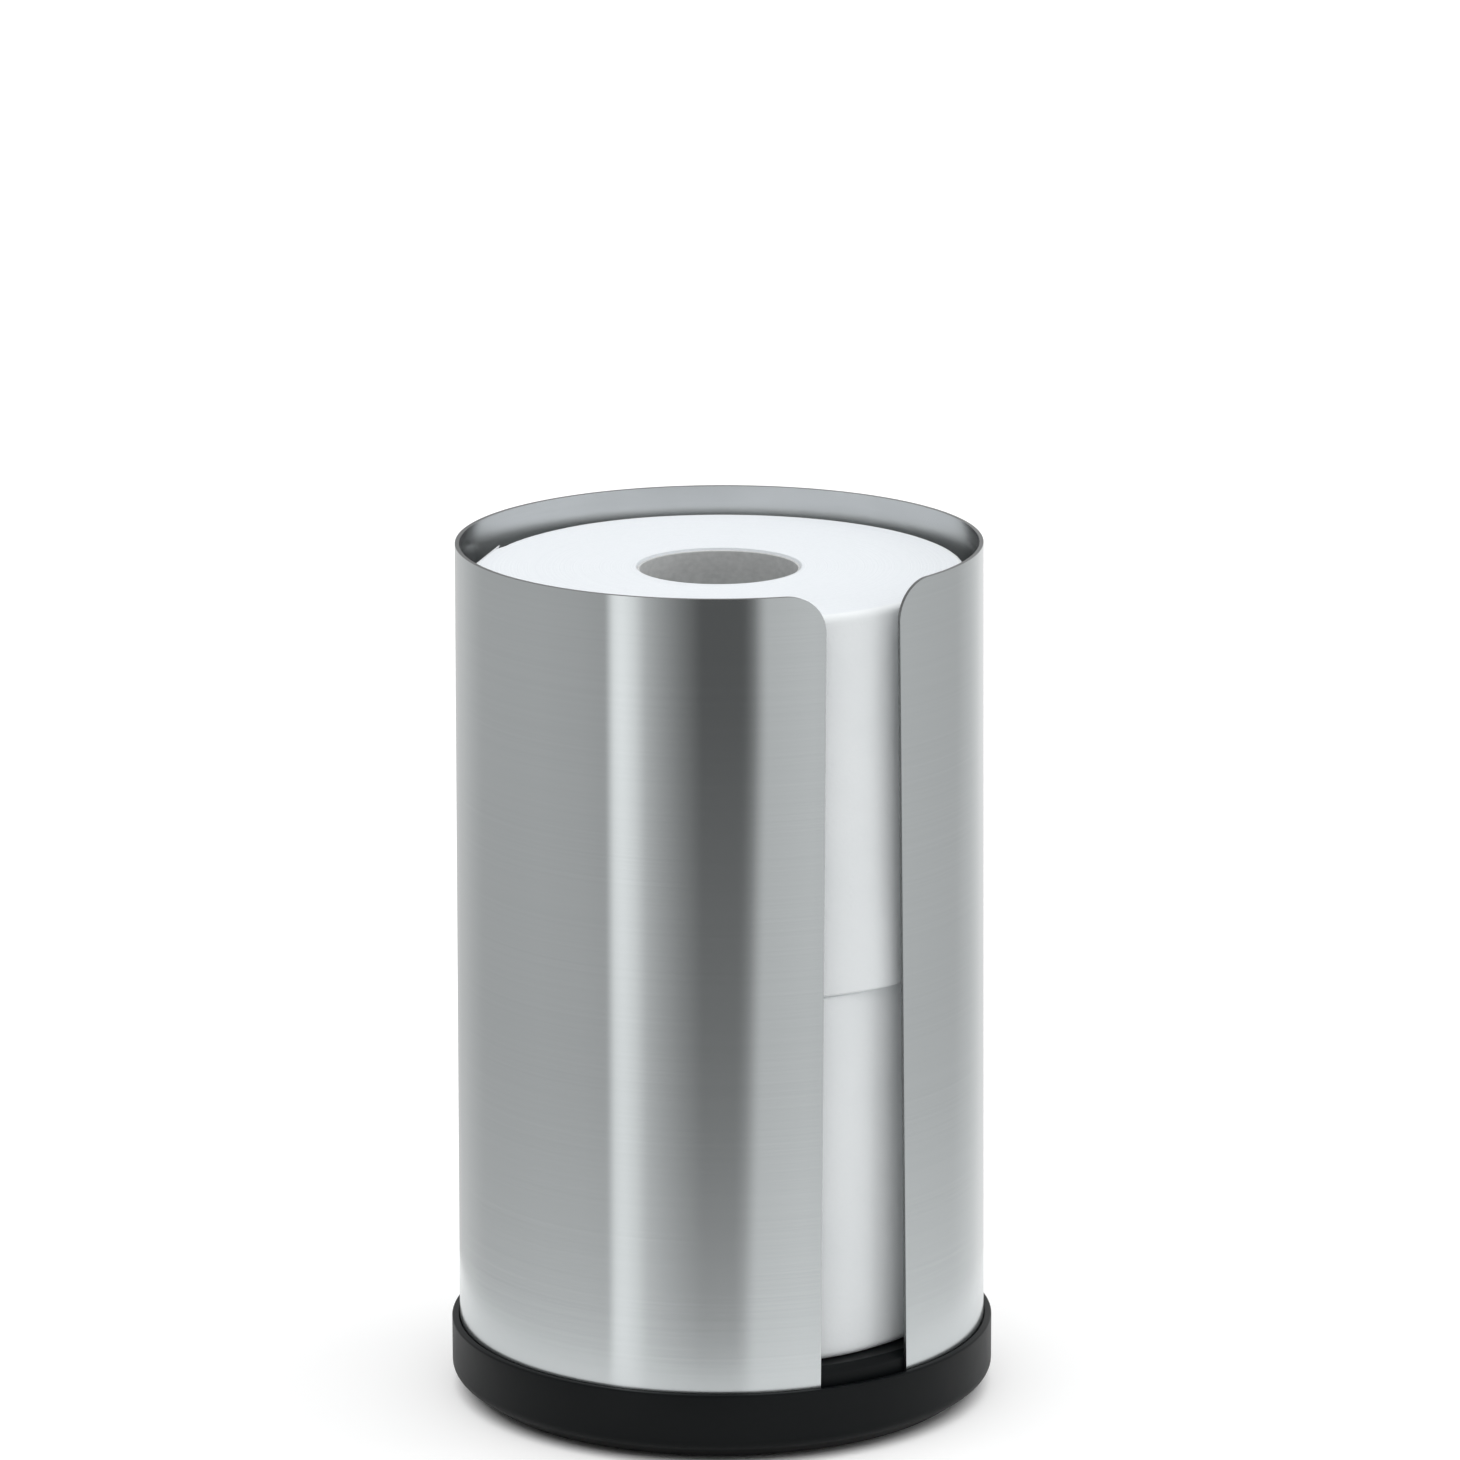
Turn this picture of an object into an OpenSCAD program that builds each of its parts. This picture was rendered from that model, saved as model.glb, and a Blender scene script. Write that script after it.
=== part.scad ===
// Free-standing holder for two spare toilet rolls: a slotted steel sleeve in a moulded base.
// Millimetres. +Z is up, the front is -Y, and the origin is the middle of the standing plane.

/* [Rolls] */
// Outside diameter of a full roll
roll_d = 121; // [100:1:140]
// Height of a roll, which is the width of its paper
roll_h = 94.2; // [85:0.2:110]
// How much lower the lower roll stands, with its foot crushed a little
lower_settle = 2.1; // [0:0.1:4]
// Rounding of the soft outer edges of the paper
roll_edge = 2; // [1:0.5:6]
// Outside diameter of the cardboard core
core_d = 40.4; // [34:0.2:50]
// Wall of the cardboard core
core_t = 0.8; // [0.5:0.1:1.5]
// How far each end of the core lies inside the paper
core_inset = 0.5; // [0.2:0.1:2]
// Thickness of the loose last sheet where it ends
tail_t = 0.8; // [0.4:0.1:1.5]

/* [Sleeve] */
// Sheet thickness of the steel sleeve
sleeve_t = 1; // [0.6:0.1:2]
// Free room between a centred roll and the sleeve's foot
roll_room = 4.1; // [3.5:0.1:8]
// How much less the sleeve's radius is at the top, where the base doesn't spread it
sleeve_close = 1; // [0:0.1:1.5]
// Height of the sleeve above the top of the upper roll
headroom = 6.4; // [2:0.1:30]
// Width of the finger slot at the top of the sleeve
slot_top_w = 20.8; // [18:0.2:30]
// Width of the finger slot at the foot of the sleeve, which the base spreads
slot_foot_w = 25.2; // [18:0.2:32]
// Direction that the slot faces, in degrees from the front towards the right
slot_turn = 32.5; // [-60:0.5:60]
// Radius of the slot's two top corners
slot_corner_r = 9.5; // [3:0.5:14]

/* [Base] */
// Height of the base's outer rim above its underside
base_h = 17.3; // [14:0.1:24]
// Thickness of the rim outside the sleeve
rim_t = 1.75; // [1.5:0.05:4]
// Width of the bevel round the lower edge
bevel_w = 6; // [2:0.5:6.5]
// Height of the bevel round the lower edge
bevel_h = 4.3; // [1:0.1:5]
// Depth of the groove that the sleeve stands in
groove_depth = 9; // [5:0.5:9.5]
// Height of the roll platform above the rim
platform_rise = 4.5; // [0:0.1:8]
// Chamfer round the platform
platform_edge = 1.6; // [0.4:0.1:2]
// Thickness of the platform's deck
deck_t = 2.6; // [2:0.1:4]
// Wall between the groove and the hollow underside
inner_wall_t = 4.4; // [3.5:0.1:8]
// Thickness of the stiffening ribs
rib_t = 2; // [1.2:0.1:3]
// Number of stiffening ribs
rib_count = 4; // [4:4:16]
// Diameter of the ring that the ribs meet in
hub_d = 22; // [16:1:40]

/* [Feet] */
// Diameter of a rubber foot
foot_d = 10; // [6:0.5:14]
// Thickness of a rubber foot
foot_t = 2; // [1.6:0.1:4]
// Depth of the pocket that holds a foot
foot_seat = 1.2; // [0.6:0.1:1.4]
// Direction of the first foot, in degrees from the front towards the right
foot_turn = 27; // [0:1:44]

/* [Hidden] */
$fn = 128;

// Overrun of a cut past the face that it opens
over = 1;

// How far the circle of each top corner of the slot reaches past the slot's edge and the sleeve's top
corner_bite = 0.03;

// Clearances
sleeve_in_fit = 0.12;
sleeve_out_fit = 0.15;
foot_fit = 0.05;
core_fit = 0.02;

// Small sizes of the base: the rim's chamfer, the gap under the ribs, the wall round a foot,
// the hub's wall, the chamfer of a foot and the distance from a foot to the base's wall
rim_edge = 0.4;
rib_lift = 3;
foot_wall = 1.8;
hub_wall = 2.4;
foot_edge = 0.4;
foot_inset = 0.8;

// Radii, from the rolls outwards
roll_r = roll_d / 2;
core_r = core_d / 2;
sleeve_in_r = roll_r + roll_room;
sleeve_r = sleeve_in_r + sleeve_t;
platform_r = sleeve_in_r - sleeve_in_fit;
groove_r = sleeve_r + sleeve_out_fit;
base_r = groove_r + rim_t;
cavity_r = platform_r - inner_wall_t;
foot_pitch_r = cavity_r - foot_inset - foot_d / 2;

// Heights, from the floor upwards
underside_z = foot_t - foot_seat;
rim_z = underside_z + base_h;
groove_z = rim_z - groove_depth;
platform_z = rim_z + platform_rise;
deck_z = platform_z - deck_t;
lower_roll_z = platform_z;
lower_roll_h = roll_h - lower_settle;
upper_roll_z = lower_roll_z + lower_roll_h;
sleeve_top_z = upper_roll_z + roll_h + headroom;
sleeve_h = sleeve_top_z - groove_z;

// How much of the free room each roll is pushed back from the slot
lower_back_share = 0.15;
upper_back_share = 0.05;

// Where the last sheet of each roll ends, in degrees from the front, and the bare strip past it
lower_tail_turn = 150;
upper_tail_turn = -116;
tail_gap = 12;

// A point on the plan at radius r, turned from the front towards the right
function facing(turn, r) = [r * sin(turn), -r * cos(turn), 0];

// A ring with rounded outer edges, standing on Z 0
module soft_ring(r_in, r_out, h, edge) {
    rotate_extrude() {
        translate([r_in, 0]) square([r_out - edge - r_in, h]);
        translate([r_in, edge]) square([r_out - r_in, h - 2 * edge]);
        for (z = [edge, h - edge]) translate([r_out - edge, z]) circle(edge);
    }
}

module tube(r_in, r_out, h) {
    difference() {
        cylinder(r = r_out, h = h);
        translate([0, 0, -over]) cylinder(r = r_in, h = h + 2 * over);
    }
}

// Half the slot's width at a height z
function slot_half(z) =
    slot_foot_w / 2 + (slot_top_w - slot_foot_w) / 2 * (z - groove_z) / sleeve_h;

// The slot seen square on: two leaning edges, and two corners cut back to an arc at the top
module slot_outline() {
    low = groove_z - over;
    high = sleeve_top_z + over;
    corner_z = sleeve_top_z - slot_corner_r + corner_bite;
    corner_x = slot_half(corner_z) + slot_corner_r - corner_bite;
    polygon([
        [-slot_half(low), low],
        [slot_half(low), low],
        [slot_half(high), high],
        [-slot_half(high), high],
    ]);
    difference() {
        translate([-corner_x, corner_z]) square([2 * corner_x, high - corner_z]);
        for (side = [-1, 1]) translate([side * corner_x, corner_z]) circle(slot_corner_r);
    }
}

module sleeve() {
    color("silver") difference() {
        rotate_extrude() polygon([
            [sleeve_in_r, groove_z],
            [sleeve_r, groove_z],
            [sleeve_r - sleeve_close, sleeve_top_z],
            [sleeve_in_r - sleeve_close, sleeve_top_z],
        ]);
        rotate([0, 0, slot_turn]) rotate([90, 0, 0]) linear_extrude(base_r) slot_outline();
    }
}

// Half section of the base moulding, from the axis outwards
module base_section() {
    polygon([
        [0, deck_z],
        [cavity_r, deck_z],
        [cavity_r, underside_z],
        [base_r - bevel_w, underside_z],
        [base_r, underside_z + bevel_h],
        [base_r, rim_z - rim_edge],
        [base_r - rim_edge, rim_z],
        [groove_r, rim_z],
        [groove_r, groove_z],
        [platform_r, groove_z],
        [platform_r, platform_z - platform_edge],
        [platform_r - platform_edge, platform_z],
        [0, platform_z],
    ]);
}

module ribs() {
    rib_h = deck_z - underside_z - rib_lift;
    for (i = [0 : rib_count - 1]) rotate([0, 0, foot_turn + i * 360 / rib_count])
        translate([-rib_t / 2, -cavity_r - over, underside_z + rib_lift])
            cube([rib_t, cavity_r + over - hub_d / 2 + over, rib_h + over]);
    translate([0, 0, underside_z + rib_lift]) tube(hub_d / 2 - hub_wall, hub_d / 2, rib_h + over);
}

module base() {
    color("#202224") difference() {
        union() {
            rotate_extrude() base_section();
            ribs();
            for (i = [0 : 3]) translate(facing(foot_turn + i * 90, foot_pitch_r) + [0, 0, underside_z])
                cylinder(d = foot_d + 2 * foot_wall, h = deck_z - underside_z + over);
        }
        for (i = [0 : 3]) translate(facing(foot_turn + i * 90, foot_pitch_r) + [0, 0, underside_z - over])
            cylinder(r = foot_d / 2 + foot_fit, h = foot_seat + over);
    }
}

// A foot with a chamfer where it meets the floor, numbered from the front to the right
module foot(i) {
    color("#0c0c0d") translate(facing(foot_turn + i * 90, foot_pitch_r)) rotate_extrude() polygon([
        [0, 0],
        [foot_d / 2 - foot_edge, 0],
        [foot_d / 2, foot_edge],
        [foot_d / 2, foot_t],
        [0, foot_t],
    ]);
}

// The plan position of a roll that is pushed back from the slot
function pushed_back(share) = facing(slot_turn, -roll_room * share);

module core(z, h, share) {
    color("#b4b6b6") translate(pushed_back(share) + [0, 0, z + core_inset])
        tube(core_r - core_t, core_r, h - 2 * core_inset);
}

// The wound paper, with a step where the last sheet ends
module paper(z, h, share, tail_turn) {
    color("white") translate(pushed_back(share) + [0, 0, z]) difference() {
        soft_ring(core_r + core_fit, roll_r, h, roll_edge);
        rotate([0, 0, tail_turn - tail_gap - 90]) translate([0, 0, -over]) rotate_extrude(angle = tail_gap)
            translate([roll_r - tail_t, 0]) square([tail_t + over, h + 2 * over]);
    }
}

base();
sleeve();
foot(0);  // foot_front
foot(1);  // foot_right
foot(2);  // foot_rear
foot(3);  // foot_left
core(lower_roll_z, lower_roll_h, lower_back_share);  // lower_roll_core
paper(lower_roll_z, lower_roll_h, lower_back_share, lower_tail_turn);  // lower_roll_paper
core(upper_roll_z, roll_h, upper_back_share);  // upper_roll_core
paper(upper_roll_z, roll_h, upper_back_share, upper_tail_turn);  // upper_roll_paper
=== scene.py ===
"""Looks of the free-standing toilet roll holder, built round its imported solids.

Metres, in the row frame: +Z is up, the front is -Y and the feet stand at Z 0.
Turns are in degrees from the front towards +X.
"""
import math
from collections import namedtuple

import bmesh
import bpy
import numpy as np
from mathutils import Matrix, Vector, noise


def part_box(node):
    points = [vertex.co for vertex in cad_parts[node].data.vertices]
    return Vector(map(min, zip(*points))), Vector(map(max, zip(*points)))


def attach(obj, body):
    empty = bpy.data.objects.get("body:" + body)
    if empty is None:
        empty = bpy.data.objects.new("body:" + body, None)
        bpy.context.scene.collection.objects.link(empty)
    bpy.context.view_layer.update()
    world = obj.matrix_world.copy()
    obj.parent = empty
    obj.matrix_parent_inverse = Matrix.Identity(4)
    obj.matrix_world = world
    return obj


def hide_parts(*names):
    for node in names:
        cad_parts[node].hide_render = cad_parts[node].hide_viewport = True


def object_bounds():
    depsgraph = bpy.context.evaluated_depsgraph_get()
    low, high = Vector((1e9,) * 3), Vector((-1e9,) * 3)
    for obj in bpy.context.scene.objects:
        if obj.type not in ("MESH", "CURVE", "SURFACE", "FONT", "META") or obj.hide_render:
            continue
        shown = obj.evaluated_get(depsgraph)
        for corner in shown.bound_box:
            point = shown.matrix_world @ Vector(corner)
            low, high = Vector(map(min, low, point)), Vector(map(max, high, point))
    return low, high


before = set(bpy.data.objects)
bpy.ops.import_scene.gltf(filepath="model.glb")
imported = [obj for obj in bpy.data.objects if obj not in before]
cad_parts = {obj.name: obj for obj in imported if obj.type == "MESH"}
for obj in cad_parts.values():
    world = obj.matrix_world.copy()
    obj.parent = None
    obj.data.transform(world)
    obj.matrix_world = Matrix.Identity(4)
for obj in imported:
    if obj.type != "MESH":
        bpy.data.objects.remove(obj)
cad_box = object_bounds()

MM = 0.001
WHITE = (1, 1, 1, 1)

# Points closer than this are one point: in a mesh as built, and in one that was joined and cut
SAME_POINT = 1e-7
SAME_CUT_POINT = 2e-6

# Camera: the photograph's framing, fitted to the rim, the sleeve's foot and the base
PHOTO_SIDE_PX = 1460
FOCAL_PX = 7711.6
SENSOR_MM = 36
CAMERA_BACK = 1.8405
CAMERA_HEIGHT = 0.6231
CAMERA_PITCH = 13.902
CAMERA_YAW = 0.078
CAMERA_ROLL = -0.176
NEAR_CLIP = 0.05
FAR_CLIP = 50

# Sleeve: the sheet, how much less its radius is at the top, and the slot
SHEET = 1.0 * MM
SLEEVE_CLOSE = 1.0 * MM
SLOT_TURN = 32.5
SLOT_TOP_HALF = 10.4 * MM
SLOT_FOOT_HALF = 12.6 * MM
SLOT_CORNER = 9.5 * MM
SHEET_EDGE = 0.05 * MM
SLEEVE_COLUMNS = 240
SLEEVE_ROW_STEP = 8.0 * MM
CORNER_ROWS = 14
# The least share of the radius in a face's normal on the sheet's sides: on its cut edges it is less
SIDE_COSINE = 0.9

# Base
RIM_Z = 18.1 * MM
BEVEL_W = 6.0 * MM
BEVEL_H = 4.3 * MM
GROOVE_GAP_OUT = 0.15 * MM
GROOVE_GAP_IN = 0.12 * MM
PLATFORM_EDGE = 1.6 * MM
DECK = 2.6 * MM
INNER_WALL = 4.4 * MM
RIB = 2.0 * MM
RIB_LIFT = 3.0 * MM
HUB_OUT = 11.0 * MM
HUB_WALL = 2.4 * MM
FEET = 4
FOOT_TURN = 27
FOOT_WALL = 1.8 * MM
FOOT_GAP = 0.05 * MM
FOOT_SEAT = 1.2 * MM
BOSS_EDGE = 0.3 * MM
# How far a solid reaches into the one that it joins or cuts
SUNK = 0.4 * MM
BASE_SEGMENTS = 256
HUB_SEGMENTS = 96
BOSS_SEGMENTS = 64

# Rolls: the rounding of their edges, the extra fullness at the back, and the core
SOFT_EDGE = 2.0 * MM
FIRM_EDGE = 0.8 * MM
SWELL = 0.5 * MM
CORE_GAP = 0.02 * MM
CORE_WALL = 0.8 * MM
ROLL_COLUMNS = 420
SIDE_ROWS = 96
FACE_ROWS = 64
EDGE_ROWS = 8
BORE_ROWS = 12
# The zones of a roll's section, of which the side takes in the rounded edges
BORE = 0
END_FACE = 1
SIDE = 2
# How steeply the unevenness of the outside fades towards the core
FADE_POWER = 6
# The outer turns: depth of their slow waves and of their creases, and both per metre
WAVE_DEPTH = 0.16 * MM
WAVE_RATE = 28
CREASE_DEPTH = 0.05 * MM
CREASE_RATE = 75
# The creases' fractal dimension, the step between their sizes, how many sizes, the offset and the gain
CREASE_FRACTAL = (0.9, 2.0, 2, 1.0, 2.0)
# The end faces: how far the turns' edges stand out or sink in, the turns that move together, and
# the slower change below that, with its share
LAYER_DEPTH = 0.1 * MM
LAYER_STEP = 1.25 * MM
SLOW_LAYER_RATE = 0.23
SLOW_LAYER_SEED = 7.0
SLOW_LAYER_SHARE = 0.45
# The end faces are level up to the first share of the way out from the bore, and uneven from the second
LEVEL_SHARE = 0.02
UNEVEN_SHARE = 0.06
# How far the look of an end face stays inside the roll's full radius
FACE_INSET = 1.8 * MM

# Loose end: the degrees over which it lifts off, its sheet, its gap to the roll and to the roll's ends
TAIL_RUN_IN = 7
FLAP_TURN = 44
FLAP_SHEET = 0.35 * MM
FLAP_LIFT = 0.12 * MM
FLAP_INSET = 0.6 * MM
FLAP_COLUMNS = 66
FLAP_ROWS = 80
# How ragged its end is, in degrees, how uneven its curl is, and both per row
RAGGED = 0.35
RAGGED_RATE = 0.21
CURL_UNEVEN = 0.4
CURL_RATE = 0.09

# Card tube: the rounding of its ends, and how far and in which direction it is out of round
TUBE_LIP = 0.25 * MM
TUBE_OVAL = 0.004
TUBE_OVAL_TURN = 0.8
TUBE_ROWS = 24
TUBE_SEGMENTS = 160

# A pressed place: its turn and height, its spread in degrees and in height, and its depth, which is
# negative where the paper is swollen
Dent = namedtuple("Dent", "turn z span reach depth")

# A roll. Its last sheet ends at tail_turn. Past that the paper lies drop lower, which levels out over
# drop_span degrees. Before it the sheet is pulled straight over straight_span degrees, and it ends
# lift off the roll. The seed sets its unevenness.
Roll = namedtuple(
    "Roll",
    "level seed tail_turn drop drop_span straight_span lift pressed top_edge foot_edge",
)

ROLLS = (
    Roll(
        level="lower",
        seed=3.0,
        tail_turn=150,
        drop=0.8 * MM,
        drop_span=22,
        straight_span=8,
        lift=0.5 * MM,
        pressed=Dent(turn=45, z=40 * MM, span=13, reach=80 * MM, depth=1.1 * MM),
        top_edge=FIRM_EDGE,
        foot_edge=SOFT_EDGE,
    ),
    Roll(
        level="upper",
        seed=11.0,
        tail_turn=-116,
        drop=1.9 * MM,
        drop_span=50,
        straight_span=23,
        lift=0.2 * MM,
        pressed=Dent(turn=41, z=0, span=12, reach=25 * MM, depth=-1.0 * MM),
        top_edge=SOFT_EDGE,
        foot_edge=FIRM_EDGE,
    ),
)

# Studio: the floor, the even light from all round, and the cards that the steel mirrors
FLOOR_HALF = 9
FLOOR_PAINT = (0.8, 0.8, 0.8, 1)
FLOOR_GLOW = 0.3
AMBIENT = 0.3
CARD_RADIUS = 0.13
CARD_HEIGHT = 0.8
CARD_SEGMENTS = 180
CARD_PEAK = 1.2
# How much of the floor's light the cards take up at their foot, how bright it is, how much brighter
# it gets towards the front and the right, and how high it reaches
CARD_SPILL = 0.37
CARD_SPILL_TONE = 0.78
CARD_SPILL_LEAN = 0.13
CARD_SPILL_TOP = 0.18
# What is left of its brightness at this height and above
CARD_SPILL_FADE = 0.6
CARD_SPILL_FADE_TOP = 0.08
# How far the dark card's right edge leans in at its foot, and the height where it is plumb
CARD_SLANT = math.radians(5)
CARD_SLANT_TOP = 0.17
# Brightness of the cards, as a share of the peak, by turn
CARD_TONES = (
    (-180, 0.6), (-120, 0.53), (-100, 0.42), (-65, 0.43), (-48, 0.41), (-38, 0.38),
    (-35, 0.92), (-32, 0.96), (-28, 0.78), (-24, 0.49), (-19, 0.35), (-13, 0.22),
    (-6, 0.1), (8, 0.1), (11, 0.19), (15, 0.53), (31, 0.59), (50, 0.53),
    (100, 0.46), (115, 0.57), (130, 0.73), (150, 0.7), (180, 0.6),
)


# Shapes

def facing(turn, radius, z=0.0):
    """The point at that radius and height, turned from the front towards +X."""
    a = math.radians(turn)
    return Vector((radius * math.sin(a), -radius * math.cos(a), z))


def link(obj):
    bpy.context.scene.collection.objects.link(obj)
    return obj


def mesh_object(name, verts, faces, smooth=True):
    mesh = bpy.data.meshes.new(name)
    mesh.from_pydata([tuple(v) for v in verts], [], faces)
    mesh.polygons.foreach_set("use_smooth", [smooth] * len(mesh.polygons))
    mesh.update()
    return link(bpy.data.objects.new(name, mesh))


def outward(obj, merge=SAME_POINT):
    """Merges doubled points and turns every face outwards."""
    bm = bmesh.new()
    bm.from_mesh(obj.data)
    bmesh.ops.remove_doubles(bm, verts=bm.verts, dist=merge)
    bmesh.ops.dissolve_degenerate(bm, edges=bm.edges, dist=merge)
    bmesh.ops.delete(bm, geom=[e for e in bm.edges if not e.link_faces], context="EDGES")
    bmesh.ops.recalc_face_normals(bm, faces=bm.faces)
    bm.to_mesh(obj.data)
    bm.free()
    return obj


def rounded(corners, steps=6):
    """The line through (x, y, radius) corners of a closed outline, with an arc at each corner."""
    line = []
    count = len(corners)
    for i, (x, y, radius) in enumerate(corners):
        here = np.array((x, y))
        if radius <= 0:
            line.append(tuple(here))
            continue
        before = np.array(corners[i - 1][:2]) - here
        after = np.array(corners[(i + 1) % count][:2]) - here
        before = before / np.linalg.norm(before)
        after = after / np.linalg.norm(after)
        half = math.acos(float(np.clip(before @ after, -1, 1))) / 2
        reach = radius / math.tan(half)
        middle = here + (before + after) / np.linalg.norm(before + after) * radius / math.sin(half)
        start = here + before * reach - middle
        end = here + after * reach - middle
        sweep = math.atan2(start[0] * end[1] - start[1] * end[0], start @ end)
        for k in range(steps + 1):
            a = sweep * k / steps
            turned = np.array((-start[1], start[0]))
            line.append(tuple(middle + math.cos(a) * start + math.sin(a) * turned))
    return line


def ring_faces(sections, points):
    """The faces of a ring of equal closed sections."""
    faces = []
    for i in range(sections):
        j = (i + 1) % sections
        for k in range(points):
            n = (k + 1) % points
            faces.append((i * points + k, j * points + k, j * points + n, i * points + n))
    return faces


def sheet_faces(rows, columns):
    """The faces of a thin sheet: two sides, each a grid of points, and the strips along its edges."""
    def at(side, row, column):
        return (side * rows + row) * columns + column

    faces = []
    for row in range(rows - 1):
        for i in range(columns - 1):
            corners = (row, i), (row, i + 1), (row + 1, i + 1), (row + 1, i)
            faces += [tuple(at(side, *corner) for corner in corners) for side in (0, 1)]
        for i in (0, columns - 1):
            faces.append((at(0, row, i), at(0, row + 1, i), at(1, row + 1, i), at(1, row, i)))
    for row in (0, rows - 1):
        for i in range(columns - 1):
            faces.append((at(0, row, i), at(0, row, i + 1), at(1, row, i + 1), at(1, row, i)))
    return faces


def lathe(name, outline, segments, centre=(0, 0, 0)):
    """A closed outline of (radius, height) turned round the Z axis through centre."""
    verts = []
    for i in range(segments):
        a = 2 * math.pi * i / segments
        verts += [(r * math.cos(a), r * math.sin(a), z) for r, z in outline]
    obj = outward(mesh_object(name, verts, ring_faces(segments, len(outline))))
    obj.location = centre
    return obj


def block(name, low, high, turn=0):
    """A box between two corners, turned about the Z axis."""
    bm = bmesh.new()
    bmesh.ops.create_cube(bm, size=1)
    size = Vector(high) - Vector(low)
    middle = (Vector(high) + Vector(low)) / 2
    bmesh.ops.scale(bm, vec=size, verts=bm.verts)
    bmesh.ops.translate(bm, vec=middle, verts=bm.verts)
    about_z = Matrix.Rotation(math.radians(turn), 3, "Z")
    bmesh.ops.rotate(bm, cent=(0, 0, 0), matrix=about_z, verts=bm.verts)
    mesh = bpy.data.meshes.new(name)
    bm.to_mesh(mesh)
    bm.free()
    return link(bpy.data.objects.new(name, mesh))


def applied(obj):
    """Makes the modifiers' result the object's own mesh."""
    shown = obj.evaluated_get(bpy.context.evaluated_depsgraph_get())
    mesh = bpy.data.meshes.new_from_object(shown)
    obj.modifiers.clear()
    obj.data = mesh
    return obj


def combine(obj, tools, operation):
    """Joins the tool solids to obj, or cuts them out of it."""
    for tool in tools:
        step = obj.modifiers.new(operation, "BOOLEAN")
        step.operation = operation
        step.solver = "EXACT"
        step.object = tool
    applied(obj)
    for tool in tools:
        bpy.data.objects.remove(tool)
    return obj


def soften(obj, width, angle=40, segments=2):
    """Breaks the sharp edges, as a deburred sheet has them."""
    step = obj.modifiers.new("edges", "BEVEL")
    step.limit_method = "ANGLE"
    step.angle_limit = math.radians(angle)
    step.width = width
    step.segments = segments
    step.harden_normals = True
    return applied(obj)


# Shader nodes

def add(tree, kind, inputs=None, **settings):
    """A shader node with its settings and inputs, each input a socket to link or a value to set."""
    node = tree.nodes.new("ShaderNode" + kind)
    for key, value in settings.items():
        setattr(node, key, value)
    for key, value in (inputs or {}).items():
        if isinstance(value, bpy.types.NodeSocket):
            tree.links.new(value, node.inputs[key])
        else:
            node.inputs[key].default_value = value
    return node


def math_of(tree, operation, *values):
    return add(tree, "Math", dict(enumerate(values)), operation=operation).outputs[0]


def sum_of(tree, first, second, share):
    """first plus share times second."""
    return math_of(tree, "MULTIPLY_ADD", second, share, first)


def ranged(tree, value, low=0.0, high=1.0, from_low=0.3, from_high=0.7):
    """A value's range from_low to from_high, where most of a noise lies, spread over low to high."""
    source = {"Value": value, "From Min": from_low, "From Max": from_high}
    return add(tree, "MapRange", {**source, "To Min": low, "To Max": high}).outputs["Result"]


def mixed(tree, share, low, high):
    """A colour between two that are sockets or full colours, by a value from 0 to 1."""
    mix = add(tree, "Mix", {"Factor": share, "A": low, "B": high}, data_type="RGBA")
    return next(s for s in mix.outputs if s.type == "RGBA")


def tinted(tree, share, low, high):
    """A colour between two given as (red, green, blue), by a value from 0 to 1."""
    return mixed(tree, share, (*low, 1), (*high, 1))


def place(tree):
    """The point on the piece, in metres from its own origin."""
    return add(tree, "TexCoord").outputs["Object"]


def stretched(tree, scale):
    """The same point with each axis scaled, which draws a noise out into lines."""
    return add(tree, "Mapping", {"Vector": place(tree), "Scale": scale}).outputs["Vector"]


def noise_of(tree, vector, scale=1.0, detail=2.0):
    return add(tree, "TexNoise", {"Vector": vector, "Scale": scale, "Detail": detail}).outputs["Fac"]


def length_of(tree, vector):
    return add(tree, "VectorMath", {"Vector": vector}, operation="LENGTH").outputs["Value"]


def blank_tree(owner):
    """The node tree of a material or world, emptied."""
    owner.use_nodes = True
    owner.node_tree.nodes.clear()
    return owner.node_tree


# Materials

def material(name, **values):
    """A material, its tree and its shader, with these values on the shader's own sockets."""
    mat = bpy.data.materials.new(name)
    mat.use_nodes = True
    shader = mat.node_tree.nodes["Principled BSDF"]
    for key, value in values.items():
        shader.inputs[key.replace("_", " ")].default_value = value
    return mat, mat.node_tree, shader


def feed(tree, shader, **sources):
    """Links each source to the shader's input of that name."""
    for key, source in sources.items():
        tree.links.new(source, shader.inputs[key.replace("_", " ")])


def bumped(tree, shader, height, distance, strength):
    values = {"Height": height, "Distance": distance, "Strength": strength}
    feed(tree, shader, Normal=add(tree, "Bump", values).outputs["Normal"])


def bare_steel(name, **values):
    """Steel whose brush lines run round the sleeve."""
    mat, tree, shader = material(name, Metallic=1.0, Anisotropic_Rotation=0.25, **values)
    tangent = add(tree, "Tangent", direction_type="RADIAL", axis="Z").outputs["Tangent"]
    feed(tree, shader, Tangent=tangent)
    return mat, tree, shader


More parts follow.
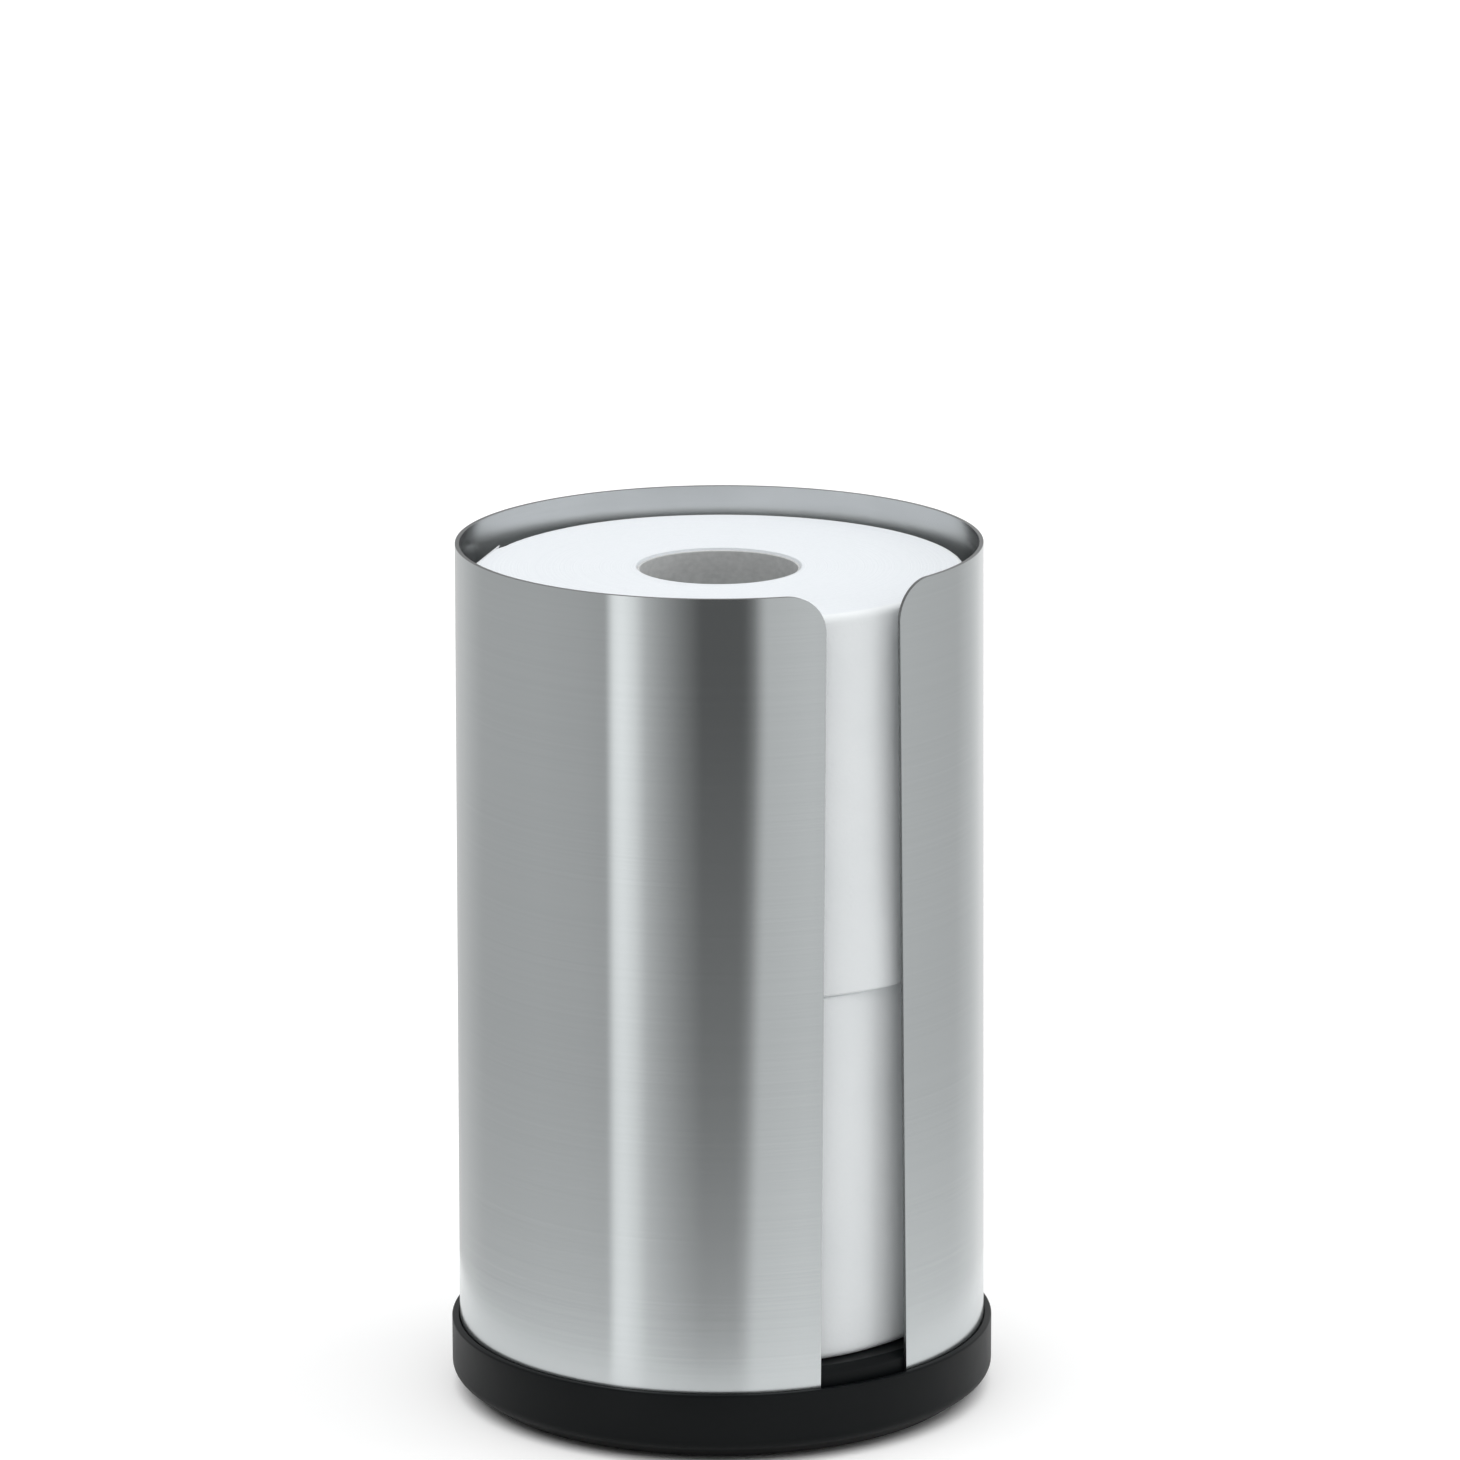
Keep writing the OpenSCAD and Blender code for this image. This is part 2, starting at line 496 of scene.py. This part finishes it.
def brushed_steel():
    """The sheet's outer face: fine brush lines, which stretch every reflection upright."""
    mat, tree, shader = bare_steel("brushed_steel", Anisotropic=1.0)
    fine = noise_of(tree, stretched(tree, (9, 9, 3600)), detail=3.0)
    broad = noise_of(tree, stretched(tree, (5, 5, 900)))
    cloud = noise_of(tree, place(tree), scale=16.0, detail=3.0)
    lines = sum_of(tree, fine, broad, share=0.4)
    shade = ranged(tree, sum_of(tree, lines, cloud, share=0.5), from_low=0.7, from_high=1.2)
    color = tinted(tree, shade, (0.612, 0.645, 0.652), (0.636, 0.668, 0.676))
    roughness = ranged(tree, lines, low=0.15, high=0.17, from_low=0.45, from_high=0.95)
    feed(tree, shader, Base_Color=color, Roughness=roughness)
    bumped(tree, shader, lines, distance=0.01 * MM, strength=0.2)
    return mat


def inner_steel():
    """The sheet's inner face, darker and duller, with coarser and fainter brushing."""
    mat, tree, shader = bare_steel("inner_steel", Anisotropic=0.3)
    grain = noise_of(tree, stretched(tree, (14, 14, 620)), detail=4.0)
    cloud = noise_of(tree, place(tree), scale=45.0, detail=3.0)
    shade = ranged(tree, sum_of(tree, grain, cloud, share=0.8), from_low=0.65, from_high=1.15)
    color = tinted(tree, shade, (0.51, 0.52, 0.524), (0.58, 0.592, 0.596))
    feed(tree, shader, Base_Color=color, Roughness=ranged(tree, grain, low=0.2, high=0.25))
    bumped(tree, shader, grain, distance=0.02 * MM, strength=0.12)
    return mat


def cut_steel_painted_shade():
    """The sheet's cut edge, dull, and darker than its faces: its dark colour is painted shade for the
    dark line along the rim and the slot's edges.
    """
    mat, tree, shader = material("cut_steel_painted_shade", Metallic=1.0)
    grain = noise_of(tree, place(tree), scale=1800.0, detail=3.0)
    # Painted shade: this dark colour stands in for the dark line along the rim and the slot's edges
    color = tinted(tree, ranged(tree, grain), (0.2, 0.206, 0.208), (0.28, 0.286, 0.288))
    feed(tree, shader, Base_Color=color, Roughness=ranged(tree, grain, low=0.42, high=0.52))
    bumped(tree, shader, grain, distance=0.02 * MM, strength=0.5)
    return mat


def black_plastic():
    """Moulded plastic with a fine satin grain and the odd paler rub."""
    mat, tree, shader = material("black_plastic", Specular_IOR_Level=0.15)
    grain = noise_of(tree, place(tree), scale=2600.0)
    flow = noise_of(tree, place(tree), scale=34.0, detail=4.0)
    shade = ranged(tree, sum_of(tree, flow, grain, share=0.25), from_low=0.42, from_high=0.85)
    color = tinted(tree, shade, (0.0022, 0.0033, 0.0038), (0.0042, 0.0053, 0.0059))
    feed(tree, shader, Base_Color=color, Roughness=ranged(tree, flow, low=0.36, high=0.46))
    bumped(tree, shader, grain, distance=0.02 * MM, strength=0.5)
    return mat


def black_rubber():
    mat, tree, shader = material("black_rubber")
    grain = noise_of(tree, place(tree), scale=1500.0, detail=3.0)
    color = tinted(tree, ranged(tree, grain), (0.008, 0.008, 0.009), (0.02, 0.02, 0.021))
    feed(tree, shader, Base_Color=color, Roughness=ranged(tree, grain, low=0.72, high=0.86))
    bumped(tree, shader, grain, distance=0.05 * MM, strength=0.6)
    return mat


def grey_card():
    """Spiral-wound recycled card with its fibres and the seam of its outer strip."""
    strip_climb = 68 * MM
    seam_share = 0.012
    mat, tree, shader = material("grey_card", Roughness=0.85)
    point = place(tree)
    split = add(tree, "SeparateXYZ", {"Vector": point}).outputs
    angle = math_of(tree, "ARCTAN2", split["Y"], split["X"])
    turns = math_of(tree, "MULTIPLY", angle, 1 / (2 * math.pi))
    cell = math_of(tree, "FRACT", sum_of(tree, turns, split["Z"], share=1 / strip_climb))
    seam = ranged(tree, cell, low=1.0, high=0.0, from_low=0.0, from_high=seam_share)
    fibre = noise_of(tree, stretched(tree, (500, 500, 900)), detail=4.0)
    fleck = noise_of(tree, point, scale=900.0)
    shade = ranged(tree, sum_of(tree, fibre, fleck, share=0.4), from_low=0.45, from_high=0.95)
    feed(tree, shader, Base_Color=tinted(tree, shade, (0.505, 0.517, 0.517), (0.60, 0.61, 0.61)))
    bumped(tree, shader, sum_of(tree, fibre, seam, share=-3.0), distance=0.06 * MM, strength=0.6)
    return mat


def soft_paper(name, roughness):
    return material(name, Roughness=roughness, Sheen_Weight=0.12, Sheen_Roughness=0.6)


def tissue():
    """Soft creped paper: fine fibres and crepe lines across the web, with small embossed dots."""
    mat, tree, shader = soft_paper("tissue", roughness=0.92)
    point = place(tree)
    fibre = noise_of(tree, point, scale=1400.0, detail=3.0)
    crepe = noise_of(tree, stretched(tree, (260, 260, 2200)))
    patch = noise_of(tree, point, scale=42.0, detail=3.0)
    dots = add(tree, "TexVoronoi", {"Vector": point, "Scale": 420.0, "Randomness": 0.35})
    dimple = ranged(tree, dots.outputs["Distance"], low=-1.0, high=0.0, from_low=0.0, from_high=0.35)
    shade = ranged(tree, sum_of(tree, patch, fibre, share=0.3), from_low=0.45, from_high=0.85)
    feed(tree, shader, Base_Color=tinted(tree, shade, (0.835, 0.868, 0.882), (0.868, 0.898, 0.91)))
    height = sum_of(tree, sum_of(tree, fibre, crepe, share=0.7), dimple, share=0.9)
    bumped(tree, shader, height, distance=0.05 * MM, strength=0.5)
    return mat


def wound_edge():
    """The end face of a roll: the edges of the turns show as fine rings round the roll's own axis, whose
    darker lines in its colour are painted shade.
    """
    mat, tree, shader = soft_paper("wound_edge", roughness=0.95)
    split = add(tree, "SeparateXYZ", {"Vector": place(tree)}).outputs
    flat = add(tree, "CombineXYZ", {"X": split["X"], "Y": split["Y"]}).outputs["Vector"]
    values = {"W": length_of(tree, flat), "Scale": 3400.0, "Detail": 3.0}
    rings = add(tree, "TexNoise", values, noise_dimensions="1D").outputs["Fac"]
    fibre = noise_of(tree, place(tree), scale=1300.0, detail=3.0)
    # The rings in the colour are painted shade of the turns' edges; in the bump they are the edges'
    # relief
    shade = ranged(tree, sum_of(tree, rings, fibre, share=0.4), from_low=0.5, from_high=0.9)
    feed(tree, shader, Base_Color=tinted(tree, shade, (0.772, 0.808, 0.844), (0.838, 0.873, 0.905)))
    bumped(tree, shader, sum_of(tree, rings, fibre, share=0.5), distance=0.08 * MM, strength=0.6)
    return mat


STEEL = brushed_steel()
INNER_STEEL = inner_steel()
CUT_STEEL_PAINTED_SHADE = cut_steel_painted_shade()
PLASTIC = black_plastic()
RUBBER = black_rubber()
CARD = grey_card()
TISSUE = tissue()
WOUND_EDGE = wound_edge()


def dress(obj, *mats):
    """Puts these materials in the object's slots."""
    obj.data.materials.clear()
    for mat in mats:
        obj.data.materials.append(mat)
    return obj


# Sleeve and base

def sleeve_rows(low, high):
    """(height, half the slot's width) up the sleeve, closer together round the slot's top corners."""
    def half(z):
        return SLOT_FOOT_HALF + (SLOT_TOP_HALF - SLOT_FOOT_HALF) * (z - low) / (high - low)

    lean = math.atan((SLOT_FOOT_HALF - SLOT_TOP_HALF) / (high - low))
    corner_z = high - SLOT_CORNER
    corner_x = half(corner_z) + SLOT_CORNER / math.cos(lean)
    straight_high = corner_z - SLOT_CORNER * math.sin(lean)
    count = round((straight_high - low) / SLEEVE_ROW_STEP)
    heights = [low + (straight_high - low) * i / count for i in range(count)]
    rows = [(z, half(z)) for z in heights]
    for i in range(CORNER_ROWS + 1):
        a = -lean + (math.pi / 2 + lean) * i / CORNER_ROWS
        rows.append((corner_z + SLOT_CORNER * math.sin(a), corner_x - SLOT_CORNER * math.cos(a)))
    return rows


def make_sleeve():
    """The sheet rolled to a C, with a finish each for its outer face, inner face and cut edge, the cut
    edge's dark colour being painted shade.
    """
    low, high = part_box("sleeve")
    rows = sleeve_rows(low.z, high.z)
    verts = []
    for inset in (0.0, SHEET):
        for z, half in rows:
            radius = high.x - inset - SLEEVE_CLOSE * (z - low.z) / (high.z - low.z)
            open_turn = math.degrees(math.asin(half / radius))
            for i in range(SLEEVE_COLUMNS + 1):
                turn = SLOT_TURN + open_turn + (360 - 2 * open_turn) * i / SLEEVE_COLUMNS
                verts.append(facing(turn, radius, z))
    obj = mesh_object("steel_sleeve", verts, sheet_faces(len(rows), SLEEVE_COLUMNS + 1))
    soften(outward(obj), SHEET_EDGE)
    dress(obj, STEEL, INNER_STEEL, CUT_STEEL_PAINTED_SHADE)
    for face in obj.data.polygons:
        out = face.normal.xy.dot(face.center.xy.normalized())
        if out > SIDE_COSINE:
            face.material_index = 0
        elif out < -SIDE_COSINE:
            face.material_index = 1
        else:
            face.material_index = 2
    return obj


def make_base():
    """The moulding: rim, groove and platform, with ribs, a hub and foot bosses in its hollow."""
    low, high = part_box("base")
    sleeve_low, sleeve_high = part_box("sleeve")
    foot_low, foot_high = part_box("foot_front")
    groove_out = sleeve_high.x + GROOVE_GAP_OUT
    platform = sleeve_high.x - SHEET - GROOVE_GAP_IN
    cavity = platform - INNER_WALL
    deck = high.z - DECK
    # Radius and height of each corner, and its rounding
    obj = lathe("moulded_base", rounded([
        (0, deck, 0),
        (cavity, deck, 1.2 * MM),
        (cavity, low.z, 0.5 * MM),
        (high.x - BEVEL_W, low.z, 2.4 * MM),
        (high.x, low.z + BEVEL_H, 3.0 * MM),
        (high.x, RIM_Z, 0.5 * MM),
        (groove_out, RIM_Z, 0.3 * MM),
        (groove_out, sleeve_low.z, 0.1 * MM),
        (platform, sleeve_low.z, 0.1 * MM),
        (platform, high.z - PLATFORM_EDGE, 0.5 * MM),
        (platform - PLATFORM_EDGE, high.z, 0.6 * MM),
        (0, high.z, 0),
    ]), BASE_SEGMENTS)

    foot = (foot_high.x - foot_low.x) / 2
    foot_pitch = ((foot_low + foot_high) / 2).xy.length
    foot_turns = [FOOT_TURN + 360 / FEET * i for i in range(FEET)]
    rib_low = low.z + RIB_LIFT
    rib_high = deck + SUNK
    boss = foot + FOOT_WALL
    boss_corners = [(0, low.z, 0), (boss, low.z, BOSS_EDGE), (boss, rib_high, 0), (0, rib_high, 0)]
    boss_outline = rounded(boss_corners, steps=3)
    hub_in = HUB_OUT - HUB_WALL
    hub_outline = [(hub_in, rib_low), (HUB_OUT, rib_low), (HUB_OUT, rib_high), (hub_in, rib_high)]
    rib_corners = (-RIB / 2, -cavity - SUNK, rib_low), (RIB / 2, -HUB_OUT + SUNK, rib_high)
    joined = []
    for turn in foot_turns:
        joined.append(block("rib", *rib_corners, turn))
        joined.append(lathe("boss", boss_outline, BOSS_SEGMENTS, facing(turn, foot_pitch)))
    joined.append(lathe("hub", hub_outline, HUB_SEGMENTS))
    combine(obj, joined, "UNION")

    pocket = foot + FOOT_GAP
    pocket_low, pocket_high = low.z - SUNK, low.z + FOOT_SEAT
    pocket_outline = [(0, pocket_low), (pocket, pocket_low), (pocket, pocket_high), (0, pocket_high)]
    cut = []
    for turn in foot_turns:
        cut.append(lathe("pocket", pocket_outline, BOSS_SEGMENTS, facing(turn, foot_pitch)))
    combine(obj, cut, "DIFFERENCE")
    return dress(outward(obj, SAME_CUT_POINT), PLASTIC)


# Rolls

def roll_place(paper_node, core_node):
    """The foot of a roll's axis, its full radius, its bore and its height."""
    low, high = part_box(paper_node)
    core_low, core_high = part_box(core_node)
    axis = (core_low + core_high) / 2
    outer = max(high.x - axis.x, axis.x - low.x, high.y - axis.y, axis.y - low.y)
    bore = (core_high.x - core_low.x) / 2 + CORE_GAP
    return Vector((axis.x, axis.y, low.z)), outer, bore, high.z - low.z


def roll_outline(outer, bore, height, top_edge, foot_edge):
    """(radius, height, zone) round a roll's section, from the foot of its bore."""
    line = [(bore, height * i / BORE_ROWS, BORE) for i in range(BORE_ROWS)]
    flat = outer - top_edge
    line += [(bore + (flat - bore) * i / FACE_ROWS, height, END_FACE) for i in range(FACE_ROWS)]
    for i in range(EDGE_ROWS):
        a = math.pi / 2 * i / EDGE_ROWS
        line.append((flat + top_edge * math.sin(a), height - top_edge * (1 - math.cos(a)), SIDE))
    side = height - top_edge - foot_edge
    line += [(outer, height - top_edge - side * i / SIDE_ROWS, SIDE) for i in range(SIDE_ROWS)]
    flat = outer - foot_edge
    for i in range(EDGE_ROWS):
        a = math.pi / 2 * i / EDGE_ROWS
        line.append((flat + foot_edge * math.cos(a), foot_edge * (1 - math.sin(a)), SIDE))
    line += [(flat + (bore - flat) * i / FACE_ROWS, 0, END_FACE) for i in range(FACE_ROWS)]
    return line


def between(turn, other):
    """The degrees from one turn to another, the shorter way round: from -180 up to 180."""
    return (other - turn + 180) % 360 - 180


def tail_step(turn, roll):
    """How far the paper lies inside its full radius where the last sheet lifts off and has ended."""
    past = between(turn, roll.tail_turn)
    if past < -TAIL_RUN_IN or past > roll.drop_span:
        return 0.0
    width = roll.drop_span if past > 0 else TAIL_RUN_IN
    return roll.drop * (0.5 + 0.5 * math.cos(math.pi * past / width))


def straight_step(turn, roll, radius):
    """How far the last sheet lies inside the full radius where it is pulled straight before its end."""
    before = between(roll.tail_turn, turn)
    if not 0 < before < roll.straight_span:
        return 0.0
    half = math.radians(roll.straight_span) / 2
    return radius * (1 - math.cos(half) / math.cos(math.radians(before) - half))


def swell(turn):
    """How much fuller the paper is than its solid: not at all in the slot, and most at the back."""
    return SWELL * (0.5 - 0.5 * math.cos(math.radians(turn - SLOT_TURN)))


def press(turn, z, place_pressed):
    """How far the paper is pressed in round a place."""
    across = between(place_pressed.turn, turn) / place_pressed.span
    along = (z - place_pressed.z) / place_pressed.reach
    return place_pressed.depth * math.exp(-across ** 2 - along ** 2)


def layer_height(radius, turn, seed):
    """How far a turn's edge stands out of or sinks into a roll's end face, from -1 to 1."""
    index = radius / LAYER_STEP + turn / 360
    single = noise.noise((index, seed, 0.0))
    slow = noise.noise((index * SLOW_LAYER_RATE, seed + SLOW_LAYER_SEED, 0.0))
    return single * (1 - SLOW_LAYER_SHARE) + slow * SLOW_LAYER_SHARE


def side_wave(point, seed):
    """The slow unevenness of the outer turns and their small creases."""
    slow = noise.noise(point * WAVE_RATE + Vector((seed, 0, 0)))
    crease = noise.ridged_multi_fractal(point * CREASE_RATE + Vector((0, seed, 0)), *CREASE_FRACTAL)
    return WAVE_DEPTH * slow - CREASE_DEPTH * crease


def make_roll(name, paper_node, core_node, roll):
    """The wound paper, uneven outside and on its end faces."""
    foot, outer, bore, height = roll_place(paper_node, core_node)
    outline = roll_outline(outer, bore, height, roll.top_edge, roll.foot_edge)
    verts = []
    for i in range(ROLL_COLUMNS):
        turn = 360 * i / ROLL_COLUMNS
        step = tail_step(turn, roll) + straight_step(turn, roll, outer) - swell(turn)
        for radius, z, zone in outline:
            share = max(0.0, (radius - bore) / (outer - bore))
            inset = (step + press(turn, z, roll.pressed)) * share ** FADE_POWER
            edge = 1.0
            if zone == SIDE:
                inset -= side_wave(facing(turn, radius, z), roll.seed)
                edge = min(1.0, (outer - radius) / SOFT_EDGE)
            lift = 0.0
            if zone != BORE and edge > 0 and share > LEVEL_SHARE:
                lift = LAYER_DEPTH * (layer_height(radius, turn, roll.seed) - 1) * edge
                lift *= min(1.0, share / UNEVEN_SHARE)
            verts.append(facing(turn, radius - inset, z + (lift if z > height / 2 else -lift)))
    obj = outward(mesh_object(name, verts, ring_faces(ROLL_COLUMNS, len(outline))))
    obj.location = foot
    dress(obj, TISSUE, WOUND_EDGE)
    for face in obj.data.polygons:
        face.material_index = 1 if face.center.xy.length < outer - FACE_INSET else 0
    return obj


def make_flap(name, paper_node, core_node, roll):
    """The loose end of the last sheet, which stands a little off the roll."""
    foot, outer, _, height = roll_place(paper_node, core_node)
    verts = []
    for inset in (0.0, FLAP_SHEET):
        for k in range(FLAP_ROWS + 1):
            z = FLAP_INSET + (height - 2 * FLAP_INSET) * k / FLAP_ROWS
            near, edge = min((z, roll.foot_edge), (height - z, roll.top_edge))
            tuck = edge - math.sqrt(max(0.0, edge ** 2 - max(0.0, edge - near) ** 2))
            ragged = RAGGED * noise.noise((k * RAGGED_RATE, roll.seed, 1.0))
            curl = roll.lift * (1 + CURL_UNEVEN * noise.noise((k * CURL_RATE, roll.seed, 3.0)))
            for i in range(FLAP_COLUMNS + 1):
                share = i / FLAP_COLUMNS
                turn = roll.tail_turn + FLAP_TURN * (1 - share) + ragged * share
                radius = outer - tuck - straight_step(turn, roll, outer) + swell(turn)
                radius += side_wave(facing(turn, outer, z), roll.seed) + curl * share ** 3
                verts.append(facing(turn, radius + FLAP_LIFT - inset, z))
    obj = outward(mesh_object(name, verts, sheet_faces(FLAP_ROWS + 1, FLAP_COLUMNS + 1)))
    obj.location = foot
    return dress(obj, TISSUE)


def make_core(name, core_node):
    """The card tube in a roll, a little out of round."""
    low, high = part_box(core_node)
    centre = (low + high) / 2
    outer = (high.x - low.x) / 2
    inner = outer - CORE_WALL
    height = high.z - low.z
    corners = (inner, 0), (outer, 0), (outer, height), (inner, height)
    outline = rounded([(radius, z, TUBE_LIP) for radius, z in corners], steps=4)
    outline += [(inner, height - height * k / TUBE_ROWS) for k in range(1, TUBE_ROWS)]
    obj = lathe(name, outline, TUBE_SEGMENTS, (centre.x, centre.y, low.z))
    for v in obj.data.vertices:
        a = math.atan2(v.co.y, v.co.x)
        v.co.xy *= 1 - TUBE_OVAL * (1 - math.sin(2 * a + TUBE_OVAL_TURN))
    return dress(obj, CARD)


# Studio

def make_floor():
    """A floor that looks white to the camera and in the steel, and keeps the object's soft shadow,
    deepened by painted shade under and round the base.
    """
    half = FLOOR_HALF
    corners = [(-half, -half, 0), (half, -half, 0), (half, half, 0), (-half, half, 0)]
    obj = mesh_object("floor", corners, [(0, 1, 2, 3)], smooth=False)
    mat = bpy.data.materials.new("white_floor")
    tree = blank_tree(mat)
    path = add(tree, "LightPath").outputs
    direct = math_of(tree, "MAXIMUM", path["Is Camera Ray"], path["Is Transmission Ray"])
    # The extra white starts under the base's bevel where it is seen, and outside the base where it is
    # mirrored. Leaving it out under the base, and near the base in reflections, is painted shade at the
    # object's foot
    reach = length_of(tree, place(tree))
    base_r = cad_box[1].x
    near = ranged(tree, reach, low=0.0, high=FLOOR_GLOW, from_low=base_r - BEVEL_W, from_high=base_r)
    far = ranged(tree, reach, low=0.0, high=FLOOR_GLOW, from_low=base_r, from_high=CARD_RADIUS)
    mirrored = math_of(tree, "MULTIPLY", path["Is Glossy Ray"], far)
    strength = math_of(tree, "MULTIPLY_ADD", direct, near, mirrored)
    paint = add(tree, "BsdfDiffuse", {"Color": FLOOR_PAINT}).outputs[0]
    glow = add(tree, "Emission", {"Color": WHITE, "Strength": strength}).outputs[0]
    add(tree, "OutputMaterial", {"Surface": add(tree, "AddShader", {0: paint, 1: glow}).outputs[0]})
    dress(obj, mat)


def make_world():
    """White behind the object and in what it mirrors, with a low, even light on it."""
    world = bpy.data.worlds.new("studio")
    bpy.context.scene.world = world
    tree = blank_tree(world)
    path = add(tree, "LightPath").outputs
    seen = math_of(tree, "MAXIMUM", path["Is Camera Ray"], path["Is Glossy Ray"])
    seen = math_of(tree, "MAXIMUM", seen, path["Is Transmission Ray"])
    strength = ranged(tree, seen, low=AMBIENT, high=1.0, from_low=0.0, from_high=1.0)
    light = add(tree, "Background", {"Color": WHITE, "Strength": strength}).outputs[0]
    add(tree, "OutputWorld", {"Surface": light})


def tone_ramp(tree, share):
    """The cards' own tone at a share of the way round, from the back by the left."""
    ramp = add(tree, "ValToRGB", {"Fac": share})
    stops = ramp.color_ramp.elements
    while len(stops) > 1:
        stops.remove(stops[-1])
    for i, (turn, level) in enumerate(CARD_TONES):
        at = (turn + 180) / 360
        stop = stops[0] if i == 0 else stops.new(at)
        stop.position = at
        stop.color = (level, level, level, 1)
    return ramp.outputs["Color"]


def card_tone(tree):
    """The cards' tone: by turn, with the dark card's slanted edge, and the floor's light at the foot."""
    point = place(tree)
    split = add(tree, "SeparateXYZ", {"Vector": point}).outputs
    height = split["Z"]
    turn = math_of(tree, "ARCTAN2", split["X"], math_of(tree, "MULTIPLY", split["Y"], -1.0))
    slant = ranged(tree, height, low=CARD_SLANT, high=0.0, from_low=0.0, from_high=CARD_SLANT_TOP)
    right_side = ranged(tree, turn, from_low=0.0, from_high=CARD_SLANT)
    turn = math_of(tree, "MULTIPLY_ADD", slant, right_side, turn)
    own = tone_ramp(tree, ranged(tree, turn, from_low=-math.pi, from_high=math.pi))
    toward = (CARD_SPILL_LEAN / CARD_RADIUS, -CARD_SPILL_LEAN / CARD_RADIUS, 0)
    lit = add(tree, "VectorMath", {0: point, 1: toward}, operation="DOT_PRODUCT").outputs["Value"]
    lit = math_of(tree, "ADD", lit, CARD_SPILL_TONE)
    fade = ranged(tree, height, 1.0, CARD_SPILL_FADE, from_low=0.0, from_high=CARD_SPILL_FADE_TOP)
    spill = ranged(tree, height, CARD_SPILL, 0.0, from_low=0.0, from_high=CARD_SPILL_TOP)
    return mixed(tree, spill, own, math_of(tree, "MULTIPLY", lit, fade))


def make_cards():
    """Softboxes and dark cards round the set, as one low ring that shows only in reflections."""
    count = CARD_SEGMENTS
    verts = []
    for z in (0.0, CARD_HEIGHT):
        verts += [facing(360 * i / count, CARD_RADIUS, z) for i in range(count)]
    faces = [(i, (i + 1) % count, count + (i + 1) % count, count + i) for i in range(count)]
    obj = mesh_object("reflector_cards", verts, faces)
    mat = bpy.data.materials.new("reflector_cards")
    tree = blank_tree(mat)
    glow = add(tree, "Emission", {"Color": card_tone(tree), "Strength": CARD_PEAK}).outputs[0]
    add(tree, "OutputMaterial", {"Surface": glow})
    dress(obj, mat)
    obj.visible_camera = False
    obj.visible_diffuse = False
    obj.visible_shadow = False
    obj.visible_transmission = False


def soft_light(name, turn, rise, strength, spread):
    """A far, wide lamp at that turn and elevation, whose light is even over the whole floor."""
    data = bpy.data.lights.new(name, "SUN")
    data.energy = strength
    data.angle = math.radians(spread)
    lamp = link(bpy.data.objects.new(name, data))
    e = math.radians(rise)
    lamp.location = facing(turn, math.cos(e), math.sin(e))
    lamp.rotation_euler = (-lamp.location).to_track_quat("-Z", "Y").to_euler()
    lamp.visible_glossy = False


def make_camera():
    pitch, yaw, roll = (math.radians(a) for a in (CAMERA_PITCH, CAMERA_YAW, CAMERA_ROLL))
    ahead = Vector((math.sin(yaw) * math.cos(pitch), math.cos(yaw) * math.cos(pitch), -math.sin(pitch)))
    right = Vector((math.cos(yaw), -math.sin(yaw), 0))
    up = right.cross(ahead)
    tilted_right = math.cos(roll) * right + math.sin(roll) * up
    tilted_up = math.cos(roll) * up - math.sin(roll) * right
    data = bpy.data.cameras.new("camera")
    data.sensor_width = SENSOR_MM
    data.lens = FOCAL_PX / PHOTO_SIDE_PX * SENSOR_MM
    data.clip_start = NEAR_CLIP
    data.clip_end = FAR_CLIP
    obj = link(bpy.data.objects.new("camera", data))
    matrix = Matrix((tilted_right, tilted_up, -ahead)).transposed().to_4x4()
    matrix.translation = (0, -CAMERA_BACK, CAMERA_HEIGHT)
    obj.matrix_world = matrix
    bpy.context.scene.camera = obj


def fit(obj, node, body):
    """The piece stands for the CAD node and rides with its body."""
    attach(obj, body)
    if node:
        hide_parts(node)


fit(make_base(), "base", "holder")
fit(make_sleeve(), "sleeve", "holder")
for foot_name in ("foot_front", "foot_right", "foot_rear", "foot_left"):
    dress(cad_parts[foot_name], RUBBER)
for roll in ROLLS:
    body = roll.level + "_roll"
    paper = body + "_paper"
    core = body + "_core"
    fit(make_roll(roll.level + "_tissue_roll", paper, core, roll), paper, body)
    fit(make_flap(roll.level + "_loose_end", paper, core, roll), None, body)
    fit(make_core(roll.level + "_card_tube", core), core, body)

make_floor()
make_world()
make_cards()
soft_light("top_light", turn=-20, rise=84, strength=2.25, spread=100)
soft_light("key_light", turn=95, rise=10, strength=1.05, spread=50)
make_camera()
bpy.context.scene.view_settings.view_transform = "Standard"
